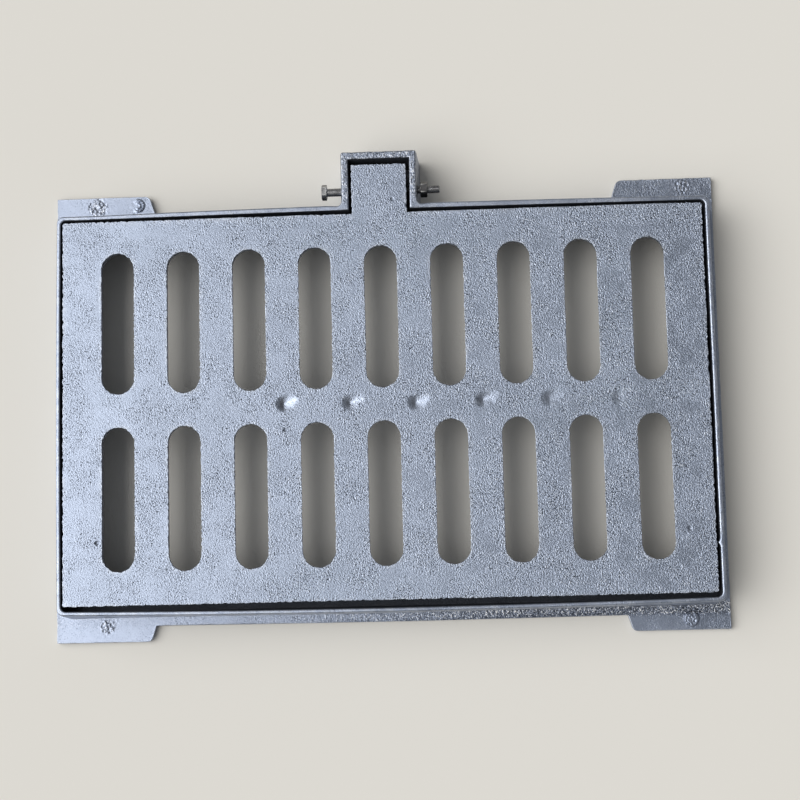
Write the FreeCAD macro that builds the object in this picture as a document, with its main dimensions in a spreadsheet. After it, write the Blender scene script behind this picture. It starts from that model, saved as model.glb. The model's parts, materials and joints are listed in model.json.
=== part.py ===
import FreeCAD, Part
import math
import os
import Sketcher

# A hinged gully grate of cast iron, lying closed in its frame.
# X runs along the long side, +Y points to the hinge side and Z is up.
# The origin is on the ground, in the middle of the frame's footprint.

# Driving dimensions in millimetres and degrees
SIZES = {
    # Grate casting: a slotted plate with a skirt and ribs underneath
    "grate_length": 500,
    "grate_width": 300,
    "grate_depth": 26,
    "grate_corner_radius": 2,
    "grate_draft": 2,
    "plate_thickness": 9,
    "skirt_thickness": 9,
    "slot_width": 25.5,
    "slot_draft": 6,
    "bar_width": 26.15,
    "end_margin": 20,
    "edge_margin": 25.6,
    "row_web": 25.8,
    "rib_thickness": 8,
    "rib_height": 13,
    "rib_draft": 3,
    # Hinge tongue of the grate
    "tongue_width": 42.6,
    "tongue_thickness": 20,
    "tongue_nose": 19,
    "tongue_nose_radius": 9,
    "tongue_bore_clearance": 0.6,
    "axis_setback": 20,
    # Frame casting: wall, seat, base flange and lugs
    "side_gap": 2.7,
    "front_gap": 5.2,
    "rear_gap": 3.3,
    "rim_width": 3.4,
    "rim_corner_radius": 5,
    "opening_corner_radius": 4,
    "wall_draft": 2,
    "seat_width": 16,
    "seat_thickness": 7,
    "under_seat_height": 11,
    "flange_reach": 8.2,
    "flange_thickness": 6,
    "flange_corner_radius": 3,
    "lug_length": 82.5,
    "lug_reach": 13.35,
    "lug_slant": 7,
    "lug_corner_radius": 5,
    # Hinge box of the frame
    "box_side_gap": 2.5,
    "box_end_gap": 4.5,
    "box_wall": 6,
    "box_end_wall": 6.4,
    "box_root_radius": 4,
    "box_corner_radius": 2,
    "bolt_hole_clearance": 0.5,
    "bolt_rest_gap": 0.05,
    # Hinge bolt and nut
    "bolt_diameter": 6.3,
    "bolt_length": 89,
    "bolt_point": 0.8,
    "bolt_head_height": 4,
    "bolt_head_standoff": 11.8,
    "across_flats": 11,
    "hexagon_chamfer": 0.9,
    "nut_height": 5.5,
    "nut_standoff": 2.5,
    "thread_clearance": 0.05,
}

# Sketcher's numbers for its own axes and for the named points of a line or an arc
HORIZONTAL_AXIS, VERTICAL_AXIS = -1, -2
ORIGIN = (-1, 1)
START, END, CENTRE = 1, 2, 3

HEXAGON_SIDES = 6
SLOT_ROWS = 2


class Size:
    """A dimension that knows both its expression in the sheet and its present value."""

    def __init__(self, text, value):
        self.text = text
        self.value = value

    @staticmethod
    def of(other):
        if isinstance(other, Size):
            return other
        return Size(repr(other), other)

    def __add__(self, other):
        other = Size.of(other)
        return Size("(%s + %s)" % (self.text, other.text), self.value + other.value)

    def __sub__(self, other):
        other = Size.of(other)
        return Size("(%s - %s)" % (self.text, other.text), self.value - other.value)

    def __mul__(self, other):
        other = Size.of(other)
        return Size("(%s * %s)" % (self.text, other.text), self.value * other.value)

    def __truediv__(self, other):
        other = Size.of(other)
        return Size("(%s / %s)" % (self.text, other.text), self.value / other.value)

    def __neg__(self):
        return Size("(-1 * %s)" % self.text, -self.value)

    def floor(self):
        return Size("floor(%s)" % self.text, math.floor(self.value))

    def root(self):
        return Size("sqrt(%s)" % self.text, math.sqrt(self.value))

    def tangent(self):
        return Size("tan(%s)" % self.text, math.tan(math.radians(self.value)))


doc = FreeCAD.newDocument("drain_grate")
sheet = doc.addObject("Spreadsheet::Sheet", "sizes")
for row, (alias, number) in enumerate(SIZES.items(), start=1):
    sheet.set("A%d" % row, alias)
    sheet.set("B%d" % row, str(number))
    sheet.setAlias("B%d" % row, alias)
doc.recompute()


def size(alias):
    """The dimension of that name, read back from the sheet."""
    return Size("sizes." + alias, float(getattr(sheet, alias)))


ZERO = Size("0", 0.0)

# Levels above the ground
FRAME_HEIGHT = size("grate_depth") + size("seat_thickness") + size("under_seat_height")
SEAT_LEVEL = size("seat_thickness") + size("under_seat_height")
AXIS_DEPTH = size("tongue_thickness") / 2
AXIS_LEVEL = FRAME_HEIGHT - AXIS_DEPTH

# Plan sizes measured from the middle of the grate
OPENING_LENGTH = size("grate_length") + size("side_gap") * 2
OPENING_WIDTH = size("grate_width") + size("front_gap") + size("rear_gap")
RIM_LENGTH = OPENING_LENGTH + size("rim_width") * 2
RIM_WIDTH = OPENING_WIDTH + size("rim_width") * 2
FLANGE_LENGTH = RIM_LENGTH + size("flange_reach") * 2
FLANGE_WIDTH = RIM_WIDTH + size("flange_reach") * 2
LUG_EDGE = FLANGE_WIDTH / 2 + size("lug_reach")
AXIS_Y = size("grate_width") / 2 + size("axis_setback")
TONGUE_END = AXIS_Y + size("tongue_nose")
BOX_INNER_END = TONGUE_END + size("box_end_gap")
BOX_OUTER_END = BOX_INNER_END + size("box_end_wall")
BOX_INNER_HALF = size("tongue_width") / 2 + size("box_side_gap")
BOX_OUTER_HALF = BOX_INNER_HALF + size("box_wall")
BOX_FOOT = BOX_OUTER_END + FRAME_HEIGHT * size("wall_draft").tangent()

# The grate lies nearer to the rear of its opening than to the front
OPENING_SHIFT = (size("rear_gap") - size("front_gap")) / 2

# The footprint runs from the front lugs to the foot of the hinge box, so its middle lies behind the grate's
FOOTPRINT_SHIFT = (BOX_FOOT - LUG_EDGE) / 2

# The slots fill the plate between its margins
SLOT_PITCH = size("slot_width") + size("bar_width")
SLOT_COLUMNS = ((size("grate_length") - size("end_margin") * 2 + size("bar_width")) / SLOT_PITCH).floor()
SLOT_LENGTH = (size("grate_width") - size("edge_margin") * 2 - size("row_web")) / 2
ROW_PITCH = SLOT_LENGTH + size("row_web")


def new_body(label, x, y, z):
    """A body with its own origin, set at a place in the frame of the whole part."""
    body = doc.addObject("PartDesign::Body", label)
    body.Label = label
    body.setExpression("Placement.Base.x", x.text)
    body.setExpression("Placement.Base.y", y.text)
    body.setExpression("Placement.Base.z", z.text)
    return body


def origin_feature(body, role):
    """One of the body's own origin planes or axes."""
    return next(item for item in body.Origin.OriginFeatures if item.Role == role)


def new_sketch(body, name, plane, lift=ZERO):
    """A sketch on one of the body's origin planes, raised along the plane's normal."""
    sketch = body.newObject("Sketcher::SketchObject", name)
    sketch.AttachmentSupport = (origin_feature(body, plane), [""])
    sketch.MapMode = "FlatFace"
    sketch.setExpression("AttachmentOffset.Base.z", lift.text)
    return sketch


def bind(sketch, constraint, dimension):
    """Add a constraint whose value follows an expression."""
    index = sketch.addConstraint(constraint)
    sketch.setExpression("Constraints[%d]" % index, dimension.text)


def pin(sketch, geometry, point, x=None, y=None):
    """Hold one point of the geometry at a place measured from the sketch's origin."""
    for kind, dimension, axis in (("DistanceX", x, VERTICAL_AXIS), ("DistanceY", y, HORIZONTAL_AXIS)):
        if dimension is None:
            continue
        if dimension is ZERO:
            sketch.addConstraint(Sketcher.Constraint("PointOnObject", geometry, point, axis))
            continue
        bind(sketch, Sketcher.Constraint(kind, *ORIGIN, geometry, point, dimension.value), dimension)


def vector(corner):
    """The present place of a corner in its sketch."""
    return FreeCAD.Vector(corner[0].value, corner[1].value, 0)


def arc_between(start, end, radius, turn):
    """The shorter arc from start to end. Turn is 1 for a left-hand arc and -1 for a right-hand one."""
    chord = end - start
    left = FreeCAD.Vector(-chord.y, chord.x, 0).normalize()
    rise = math.sqrt(max(radius ** 2 - (chord.Length / 2) ** 2, 0))
    centre = start + chord * 0.5 + left * rise * turn
    first, last = (start, end) if turn > 0 else (end, start)
    first_angle = math.atan2(first.y - centre.y, first.x - centre.x)
    last_angle = math.atan2(last.y - centre.y, last.x - centre.x)
    circle = Part.Circle(centre, FreeCAD.Vector(0, 0, 1), radius)
    return Part.ArcOfCircle(circle, first_angle, last_angle)


def outline(sketch, corners, arcs={}):
    """A closed loop through the corners. The side that leaves a corner listed in arcs is an arc."""
    ends = []
    for index, corner in enumerate(corners):
        start = vector(corner)
        end = vector(corners[(index + 1) % len(corners)])
        if index in arcs:
            radius, turn = arcs[index]
            geometry = sketch.addGeometry(arc_between(start, end, radius.value, turn))
            ends.append((geometry, START, END) if turn > 0 else (geometry, END, START))
        else:
            geometry = sketch.addGeometry(Part.LineSegment(start, end))
            ends.append((geometry, START, END))
    for index, (geometry, start, end) in enumerate(ends):
        follower, follower_start, _ = ends[(index + 1) % len(ends)]
        sketch.addConstraint(Sketcher.Constraint("Coincident", geometry, end, follower, follower_start))
        pin(sketch, geometry, start, *corners[index])
        if index in arcs:
            radius = arcs[index][0]
            bind(sketch, Sketcher.Constraint("Radius", geometry, radius.value), radius)


def rounded_rectangle(sketch, length, width, radius, shift=ZERO):
    """A rectangle with equal round corners, its middle on the sketch's Y axis."""
    x = length / 2
    front = shift - width / 2
    rear = shift + width / 2
    corners = [
        (-x + radius, front),
        (x - radius, front),
        (x, front + radius),
        (x, rear - radius),
        (x - radius, rear),
        (-x + radius, rear),
        (-x, rear - radius),
        (-x, front + radius),
    ]
    outline(sketch, corners, {side: (radius, 1) for side in (1, 3, 5, 7)})


def rectangle(sketch, left, right, bottom, top):
    """A rectangle between two X and two Y places."""
    outline(sketch, [(left, bottom), (right, bottom), (right, top), (left, top)])


def upright_slot(sketch, x, y, width, length):
    """A round-ended slot about a point, its length along the sketch's Y."""
    radius = width / 2
    reach = (length - width) / 2
    upper = FreeCAD.Vector(x.value, y.value + reach.value, 0)
    lower = FreeCAD.Vector(x.value, y.value - reach.value, 0)
    side = FreeCAD.Vector(radius.value, 0, 0)
    normal = FreeCAD.Vector(0, 0, 1)
    right = sketch.addGeometry(Part.LineSegment(lower + side, upper + side))
    top = sketch.addGeometry(Part.ArcOfCircle(Part.Circle(upper, normal, radius.value), 0, math.pi))
    left = sketch.addGeometry(Part.LineSegment(upper - side, lower - side))
    bottom = sketch.addGeometry(
        Part.ArcOfCircle(Part.Circle(lower, normal, radius.value), math.pi, 2 * math.pi)
    )
    ring = [right, top, left, bottom]
    for index, geometry in enumerate(ring):
        follower = ring[(index + 1) % len(ring)]
        sketch.addConstraint(Sketcher.Constraint("Tangent", geometry, END, follower, START))
    sketch.addConstraint(Sketcher.Constraint("Vertical", right))
    sketch.addConstraint(Sketcher.Constraint("Vertical", left))
    bind(sketch, Sketcher.Constraint("Radius", top, radius.value), radius)
    pin(sketch, top, CENTRE, x, y + reach)
    pin(sketch, bottom, CENTRE, None, y - reach)


def circle(sketch, x, y, radius):
    """A circle about a point."""
    place = FreeCAD.Vector(x.value, y.value, 0)
    geometry = sketch.addGeometry(Part.Circle(place, FreeCAD.Vector(0, 0, 1), radius.value))
    bind(sketch, Sketcher.Constraint("Radius", geometry, radius.value), radius)
    pin(sketch, geometry, CENTRE, x, y)


def hexagon(sketch, across_flats):
    """A regular hexagon about the sketch's origin with a flat uppermost."""
    reach = across_flats.value / math.sqrt(3)
    spots = []
    for index in range(HEXAGON_SIDES):
        angle = 2 * math.pi * index / HEXAGON_SIDES
        spots.append(FreeCAD.Vector(reach * math.cos(angle), reach * math.sin(angle), 0))
    guide = sketch.addGeometry(Part.Circle(FreeCAD.Vector(), FreeCAD.Vector(0, 0, 1), reach), True)
    sketch.addConstraint(Sketcher.Constraint("Coincident", guide, CENTRE, *ORIGIN))
    sides = []
    for index, spot in enumerate(spots):
        sides.append(sketch.addGeometry(Part.LineSegment(spot, spots[(index + 1) % HEXAGON_SIDES])))
    for index, line in enumerate(sides):
        follower = sides[(index + 1) % HEXAGON_SIDES]
        sketch.addConstraint(Sketcher.Constraint("Coincident", line, END, follower, START))
        sketch.addConstraint(Sketcher.Constraint("PointOnObject", line, START, guide))
        if index > 0:
            sketch.addConstraint(Sketcher.Constraint("Equal", sides[0], line))
    upper = sides[1]
    sketch.addConstraint(Sketcher.Constraint("Horizontal", upper))
    pin(sketch, upper, START, None, across_flats / 2)


def pad(body, sketch, name, length, reverse=False, draft=ZERO, both_ways=False):
    """Raise a sketch into the body. A draft above zero widens the far end."""
    feature = body.newObject("PartDesign::Pad", name)
    feature.Profile = sketch
    feature.setExpression("Length", length.text)
    feature.Reversed = reverse
    if draft is not ZERO:
        feature.setExpression("TaperAngle", draft.text)
    if both_ways:
        feature.SideType = "Symmetric"
    doc.recompute()
    return feature


def pocket(body, sketch, name, length=None, reverse=False, draft=ZERO):
    """Sink a sketch into the body by a length, or right through it both ways."""
    before = body.Shape.Volume
    feature = body.newObject("PartDesign::Pocket", name)
    feature.Profile = sketch
    if length is None:
        feature.Type = "ThroughAll"
        feature.SideType = "Symmetric"
    else:
        feature.setExpression("Length", length.text)
    feature.Reversed = reverse
    if draft is not ZERO:
        feature.setExpression("TaperAngle", draft.text)
    doc.recompute()
    if body.Shape.Volume >= before:
        raise RuntimeError("%s removes nothing" % name)
    return feature


def turned(body, sketch, kind, name):
    """Turn a sketch once round the body's X axis, adding or removing."""
    before = body.Shape.Volume
    feature = body.newObject(kind, name)
    feature.Profile = sketch
    feature.ReferenceAxis = (origin_feature(body, "X_Axis"), [""])
    feature.Angle = 360
    doc.recompute()
    if body.Shape.Volume == before:
        raise RuntimeError("%s changes nothing" % name)
    return feature


def grid(body, feature, name, columns, column_pitch, rows=None, row_pitch=None):
    """Repeat a feature along X, and along Y too where rows are given."""
    pattern = body.newObject("PartDesign::LinearPattern", name)
    pattern.Originals = [feature]
    pattern.Direction = (origin_feature(body, "X_Axis"), [""])
    pattern.Mode = "Spacing"
    pattern.setExpression("Offset", column_pitch.text)
    pattern.setExpression("Occurrences", columns.text)
    if rows is not None:
        pattern.Direction2 = (origin_feature(body, "Y_Axis"), [""])
        pattern.Mode2 = "Extent"
        pattern.setExpression("Length2", (row_pitch * (rows - 1)).text)
        pattern.Occurrences2 = rows
    body.Tip = pattern
    doc.recompute()
    return pattern


def mirror_to_four_corners(body, feature, name):
    """Repeat a feature at all four corners by mirroring it across both middle planes."""
    pattern = body.newObject("PartDesign::MultiTransform", name)
    pattern.Originals = [feature]
    mirrors = []
    for plane in ("YZ_Plane", "XZ_Plane"):
        mirror = body.newObject("PartDesign::Mirrored", name + "_" + plane)
        mirror.MirrorPlane = (origin_feature(body, plane), [""])
        mirrors.append(mirror)
    pattern.Transformations = mirrors
    body.Tip = pattern
    doc.recompute()
    return pattern


def chamfer_hexagon(body, name, face, inward):
    """Turn the corners off a hexagon's outer face. Inward is 1 or -1, the way into the metal along X."""
    sketch = new_sketch(body, name + "_profile", "XZ_Plane")
    inner = size("across_flats") / 2
    outer = inner + size("hexagon_chamfer") * 2
    depth = face + size("hexagon_chamfer") * inward
    outline(sketch, [(face, inner), (face, outer), (depth, outer)])
    turned(body, sketch, "PartDesign::Groove", name)


def make_frame():
    """The frame casting: base flange, wall and rim, lugs, seat and hinge box."""
    body = new_body("frame", ZERO, -FOOTPRINT_SHIFT, ZERO)

    sketch = new_sketch(body, "flange_outline", "XY_Plane")
    rounded_rectangle(sketch, FLANGE_LENGTH, FLANGE_WIDTH, size("flange_corner_radius"), OPENING_SHIFT)
    pad(body, sketch, "flange", size("flange_thickness"))

    # The wall leans out towards the ground, so the casting leaves its mould
    sketch = new_sketch(body, "rim_outline", "XY_Plane", FRAME_HEIGHT)
    rounded_rectangle(sketch, RIM_LENGTH, RIM_WIDTH, size("rim_corner_radius"), OPENING_SHIFT)
    pad(body, sketch, "wall", FRAME_HEIGHT, reverse=True, draft=size("wall_draft"))

    # One lug, flush with the end of the flange. Its free end slants, and an arc rounds its outer corner,
    # which starts and ends where it touches the two straight edges
    sketch = new_sketch(body, "lug_outline", "XY_Plane")
    lug_left = -(FLANGE_LENGTH / 2)
    lug_right = lug_left + size("lug_length")
    lug_root = -(RIM_WIDTH / 2)
    lug_tip = lug_right - size("lug_slant")
    slope = size("lug_slant") / (LUG_EDGE + lug_root)
    steepness = (slope * slope + 1).root()
    tangent = size("lug_corner_radius") * (steepness - slope)
    lug_corners = [
        (lug_left, -LUG_EDGE),
        (lug_tip - tangent, -LUG_EDGE),
        (lug_tip + tangent * slope / steepness, -LUG_EDGE + tangent / steepness),
        (lug_right, lug_root),
        (lug_left, lug_root),
    ]
    outline(sketch, lug_corners, {1: (size("lug_corner_radius"), 1)})
    lug = pad(body, sketch, "lug", size("flange_thickness"))
    mirror_to_four_corners(body, lug, "lugs")

    # The hinge box stands out from the rear wall and leans out as the wall does. A fillet on each side
    # of its root runs out into the face of the wall
    sketch = new_sketch(body, "hinge_box_outline", "XY_Plane", FRAME_HEIGHT)
    root = size("box_root_radius")
    round_corner = size("box_corner_radius")
    wall_face = OPENING_SHIFT + RIM_WIDTH / 2
    wall_middle = wall_face - size("rim_width") / 2
    box_root_half = BOX_OUTER_HALF + root * 2
    box_corners = [
        (-box_root_half, wall_middle),
        (box_root_half, wall_middle),
        (box_root_half, wall_face),
        (BOX_OUTER_HALF + root, wall_face),
        (BOX_OUTER_HALF, wall_face + root),
        (BOX_OUTER_HALF, BOX_OUTER_END - round_corner),
        (BOX_OUTER_HALF - round_corner, BOX_OUTER_END),
        (-BOX_OUTER_HALF + round_corner, BOX_OUTER_END),
        (-BOX_OUTER_HALF, BOX_OUTER_END - round_corner),
        (-BOX_OUTER_HALF, wall_face + root),
        (-BOX_OUTER_HALF - root, wall_face),
        (-box_root_half, wall_face),
    ]
    box_arcs = {3: (root, -1), 5: (round_corner, 1), 7: (round_corner, 1), 9: (root, -1)}
    outline(sketch, box_corners, box_arcs)
    pad(body, sketch, "hinge_box", FRAME_HEIGHT, reverse=True, draft=size("wall_draft"))

    # The opening that takes the grate, down to the seat
    sketch = new_sketch(body, "opening_outline", "XY_Plane", FRAME_HEIGHT)
    rounded_rectangle(sketch, OPENING_LENGTH, OPENING_WIDTH, size("opening_corner_radius"), OPENING_SHIFT)
    pocket(body, sketch, "opening", size("grate_depth"))

    # The clear way through the seat, and the space below the seat back to the wall
    sketch = new_sketch(body, "clear_way_outline", "XY_Plane", SEAT_LEVEL)
    clear_length = OPENING_LENGTH - size("seat_width") * 2
    clear_width = OPENING_WIDTH - size("seat_width") * 2
    rounded_rectangle(sketch, clear_length, clear_width, size("opening_corner_radius"), OPENING_SHIFT)
    pocket(body, sketch, "clear_way", SEAT_LEVEL)
    sketch = new_sketch(body, "under_seat_outline", "XY_Plane")
    rounded_rectangle(sketch, OPENING_LENGTH, OPENING_WIDTH, size("opening_corner_radius"), OPENING_SHIFT)
    pocket(body, sketch, "under_seat", size("under_seat_height"), reverse=True)

    # The way for the tongue, through the rear wall and its seat into the hinge box. A floor as thick as
    # the flange closes the box, so the bed that the frame lies in can't fill it
    sketch = new_sketch(body, "tongue_way_outline", "XY_Plane", FRAME_HEIGHT)
    rectangle(sketch, -BOX_INNER_HALF, BOX_INNER_HALF, ZERO, BOX_INNER_END)
    pocket(body, sketch, "tongue_way", FRAME_HEIGHT - size("flange_thickness"))

    # The bolt lies on the bottom of its holes, so they are centred a little above it
    sketch = new_sketch(body, "bolt_hole_outline", "YZ_Plane")
    hole_level = AXIS_LEVEL + size("bolt_hole_clearance") - size("bolt_rest_gap")
    circle(sketch, AXIS_Y, hole_level, size("bolt_diameter") / 2 + size("bolt_hole_clearance"))
    pocket(body, sketch, "bolt_holes")
    return body


def make_grate():
    """The grate casting, measured from the middle of its top face."""
    body = new_body("grate", ZERO, -FOOTPRINT_SHIFT, FRAME_HEIGHT)

    # A slab with drafted sides, hollowed from below into a plate and a skirt
    sketch = new_sketch(body, "slab_outline", "XY_Plane")
    rounded_rectangle(sketch, size("grate_length"), size("grate_width"), size("grate_corner_radius"))
    pad(body, sketch, "slab", size("grate_depth"), reverse=True, draft=-size("grate_draft"))
    sketch = new_sketch(body, "hollow_outline", "XY_Plane", -size("plate_thickness"))
    hollow_length = size("grate_length") - size("skirt_thickness") * 2
    hollow_width = size("grate_width") - size("skirt_thickness") * 2
    rounded_rectangle(sketch, hollow_length, hollow_width, size("opening_corner_radius"))
    pocket(body, sketch, "hollow", size("grate_depth") - size("plate_thickness"))

    # One rib along the web between the rows, and one across under each bar between two slots
    rib_half = size("rib_thickness") / 2
    rib_end = (size("grate_length") - size("skirt_thickness")) / 2
    sketch = new_sketch(body, "long_rib_outline", "XY_Plane", -size("plate_thickness"))
    rectangle(sketch, -rib_end, rib_end, -rib_half, rib_half)
    pad(body, sketch, "long_rib", size("rib_height"), reverse=True, draft=-size("rib_draft"))
    first_bar = -(SLOT_PITCH * (SLOT_COLUMNS - 2) / 2)
    rib_edge = (size("grate_width") - size("skirt_thickness")) / 2
    sketch = new_sketch(body, "cross_rib_outline", "XY_Plane", -size("plate_thickness"))
    rectangle(sketch, first_bar - rib_half, first_bar + rib_half, -rib_edge, rib_edge)
    rib = pad(body, sketch, "cross_rib", size("rib_height"), reverse=True, draft=-size("rib_draft"))
    grid(body, rib, "cross_ribs", SLOT_COLUMNS - 1, SLOT_PITCH)

    # The tongue: a bar with its lower rear edge rounded to swing clear, bored for the bolt
    sketch = new_sketch(body, "tongue_profile", "YZ_Plane")
    tongue_root = (size("grate_width") - size("skirt_thickness")) / 2
    nose = size("tongue_nose_radius")
    underside = -size("tongue_thickness")
    tongue_corners = [
        (tongue_root, ZERO),
        (tongue_root, underside),
        (TONGUE_END - nose, underside),
        (TONGUE_END, underside + nose),
        (TONGUE_END, ZERO),
    ]
    outline(sketch, tongue_corners, {2: (nose, 1)})
    pad(body, sketch, "tongue", size("tongue_width"), both_ways=True)
    sketch = new_sketch(body, "tongue_bore_outline", "YZ_Plane")
    circle(sketch, AXIS_Y, -AXIS_DEPTH, size("bolt_diameter") / 2 + size("tongue_bore_clearance"))
    pocket(body, sketch, "tongue_bore")

    # Two rows of round-ended slots that widen downwards, so nothing wedges in them
    sketch = new_sketch(body, "slot_outline", "XY_Plane")
    first_slot = -(SLOT_PITCH * (SLOT_COLUMNS - 1) / 2)
    upright_slot(sketch, first_slot, -(ROW_PITCH / 2), size("slot_width"), SLOT_LENGTH)
    slot = pocket(body, sketch, "slot", size("grate_depth"), draft=size("slot_draft"))
    grid(body, slot, "slots", SLOT_COLUMNS, SLOT_PITCH, SLOT_ROWS, ROW_PITCH)
    return body


def make_hinge_bolt():
    """The hexagon bolt, measured from the underside of its head on the hinge axis."""
    head_face = -(BOX_OUTER_HALF + size("bolt_head_standoff"))
    body = new_body("hinge_bolt", head_face, AXIS_Y - FOOTPRINT_SHIFT, AXIS_LEVEL)
    sketch = new_sketch(body, "head_outline", "YZ_Plane")
    hexagon(sketch, size("across_flats"))
    pad(body, sketch, "head", size("bolt_head_height"), reverse=True)
    chamfer_hexagon(body, "head_chamfer", -size("bolt_head_height"), 1)
    sketch = new_sketch(body, "shank_profile", "XZ_Plane")
    radius = size("bolt_diameter") / 2
    tip = size("bolt_length")
    point = size("bolt_point")
    shank_corners = [
        (-(size("bolt_head_height") / 2), ZERO),
        (tip, ZERO),
        (tip, radius - point),
        (tip - point, radius),
        (-(size("bolt_head_height") / 2), radius),
    ]
    outline(sketch, shank_corners)
    turned(body, sketch, "PartDesign::Revolution", "shank")
    return body


def make_hinge_nut():
    """The hexagon nut, measured from its face towards the hinge box."""
    near_face = BOX_OUTER_HALF + size("nut_standoff")
    body = new_body("hinge_nut", near_face, AXIS_Y - FOOTPRINT_SHIFT, AXIS_LEVEL)
    sketch = new_sketch(body, "nut_outline", "YZ_Plane")
    hexagon(sketch, size("across_flats"))
    pad(body, sketch, "nut", size("nut_height"))
    chamfer_hexagon(body, "nut_chamfer", size("nut_height"), -1)
    sketch = new_sketch(body, "thread_outline", "YZ_Plane")
    circle(sketch, ZERO, ZERO, size("bolt_diameter") / 2 + size("thread_clearance"))
    pocket(body, sketch, "thread")
    return body


pieces = [make_frame(), make_grate(), make_hinge_bolt(), make_hinge_nut()]
doc.recompute()

# Nothing is written unless every feature and every solid is sound
for item in doc.Objects:
    if "Invalid" in item.State or "Error" in item.State:
        raise RuntimeError("%s failed: %s" % (item.Label, item.State))
for piece in pieces:
    if piece.Shape.isNull() or not piece.Shape.isValid() or len(piece.Shape.Solids) != 1:
        raise RuntimeError("%s isn't one sound solid" % piece.Label)

os.makedirs("parts", exist_ok=True)
for piece in pieces:
    piece.Shape.exportStep("parts/%s.step" % piece.Label)
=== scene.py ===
import json
import math

import bmesh
import bpy
from mathutils import Euler, Matrix, Vector, geometry, kdtree, noise


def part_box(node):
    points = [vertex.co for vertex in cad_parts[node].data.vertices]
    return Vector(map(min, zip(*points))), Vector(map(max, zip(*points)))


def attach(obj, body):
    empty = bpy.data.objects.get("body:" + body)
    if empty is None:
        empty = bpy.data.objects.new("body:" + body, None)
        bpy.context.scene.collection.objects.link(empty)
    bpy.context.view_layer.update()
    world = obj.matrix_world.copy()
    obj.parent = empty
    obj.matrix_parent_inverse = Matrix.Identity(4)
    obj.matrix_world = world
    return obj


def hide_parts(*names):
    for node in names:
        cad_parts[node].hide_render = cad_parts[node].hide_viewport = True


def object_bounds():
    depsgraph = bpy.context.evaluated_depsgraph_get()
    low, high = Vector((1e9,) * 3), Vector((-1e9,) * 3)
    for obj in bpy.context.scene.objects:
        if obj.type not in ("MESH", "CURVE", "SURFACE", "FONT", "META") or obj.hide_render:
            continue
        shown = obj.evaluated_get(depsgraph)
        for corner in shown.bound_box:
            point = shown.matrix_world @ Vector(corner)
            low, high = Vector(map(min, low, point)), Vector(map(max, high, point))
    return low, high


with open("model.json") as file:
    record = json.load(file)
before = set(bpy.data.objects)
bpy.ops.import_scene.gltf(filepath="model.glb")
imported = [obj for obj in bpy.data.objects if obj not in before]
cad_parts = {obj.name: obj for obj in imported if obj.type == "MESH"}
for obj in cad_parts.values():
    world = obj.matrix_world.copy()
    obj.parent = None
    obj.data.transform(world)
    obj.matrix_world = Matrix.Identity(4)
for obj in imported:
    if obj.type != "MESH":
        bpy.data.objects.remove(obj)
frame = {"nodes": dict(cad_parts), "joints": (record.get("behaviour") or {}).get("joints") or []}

CAD_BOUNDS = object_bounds()

MM = 0.001

# The camera stands where the photograph was taken from, almost straight above the grate
CAMERA_PLACE = (0.06602, -0.14916, 1.26832)
CAMERA_TURN = (6.4798, 2.6442, -1.3464)
CAMERA_LENS = 72.0
CAMERA_SENSOR = 36.0

# Levels, of which the grate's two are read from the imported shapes, and the hinge axis, read from the joint
GRATE_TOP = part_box("grate")[1].z
SEAT_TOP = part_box("grate")[0].z
FLANGE_TOP = 6 * MM
HINGE = next(joint for joint in frame["joints"] if joint["name"] == "grate_hinge")
AXIS = Vector(HINGE["pos_m"])

# Inside faces of the frame's opening and hinge box
OPENING_SIDE = 253.2 * MM
OPENING_FRONT = -166.8 * MM
OPENING_REAR = 142.7 * MM
BOX_SIDE = 24.3 * MM
BOX_REAR = 182.8 * MM

# Where the plate's outer edge runs, just inside its nominal outline
PLATE_SIDE = 248.0 * MM
PLATE_FRONT = -158.8 * MM
PLATE_REAR = 136.2 * MM

# How dark and dull the grate's outer sides and the frame's inside are, a painted shade for the deep narrow gap
# between them, and the depths where they begin
GAP_PAINTED_SHADE = 0.52
GRATE_FACE_DEPTH = 1.0 * MM
FRAME_FACE_DEPTH = 0.5 * MM

# Mesh preparation shared by both castings
WELD = 0.002 * MM
LEVEL_SLACK = 0.02 * MM
FLAT_ANGLE = math.radians(0.5)
SHARP_ANGLE = math.radians(35)
SHADE_ANGLE = math.radians(28)

# A face is a side where its normal rises less than this, and a vertex is on an edge where its layer says more
SIDE_RISE = 0.5
ON_EDGE = 0.5

# Rounding of the castings' edges, from the top down: lowest level, radius, segments
GRATE_ROUNDINGS = [(-1.0, 0.35 * MM, 2)]
FRAME_ROUNDINGS = [(GRATE_TOP - 0.1 * MM, 1.1 * MM, 4), (-1.0, 0.28 * MM, 2)]
RIM_DEPTH = 1.3 * MM

# Spacing of the vertices along the rounded edges and on the level faces
GRATE_STEP = 1.2 * MM
FRAME_STEP = 1.6 * MM
SEAT_STEP = 8.0 * MM
FACE_STEP = 6.0 * MM
FLANGE_STEP = 1.6 * MM
DENT_STEP = 0.8 * MM
MARK_STEP = 0.45 * MM
PIT_SPOT = 1.5
BOX_SPOT = (0.0, AXIS.y, 36.0 * MM, 1.2 * MM)
BORDER_SHARE = 0.45
BORDER_LEAST = 0.9 * MM

# Lines cut along the castings' sides, and the bands of height within which edges are divided
GRATE_LINES = [GRATE_TOP - 1.5 * MM]
GRATE_BANDS = [(GRATE_TOP - 2.0 * MM, GRATE_TOP + 1.0 * MM)]
FRAME_LINES = [FLANGE_TOP + 1.4 * MM, FLANGE_TOP + 2.8 * MM, GRATE_TOP - 2.6 * MM]
FRAME_BANDS = [(FLANGE_TOP - 1.0 * MM, FLANGE_TOP + 3.0 * MM), (GRATE_TOP - 3.0 * MM, GRATE_TOP + 1.0 * MM)]
SEAT_BAND = (SEAT_TOP - 1.0 * MM, SEAT_TOP + 1.0 * MM)

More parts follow.
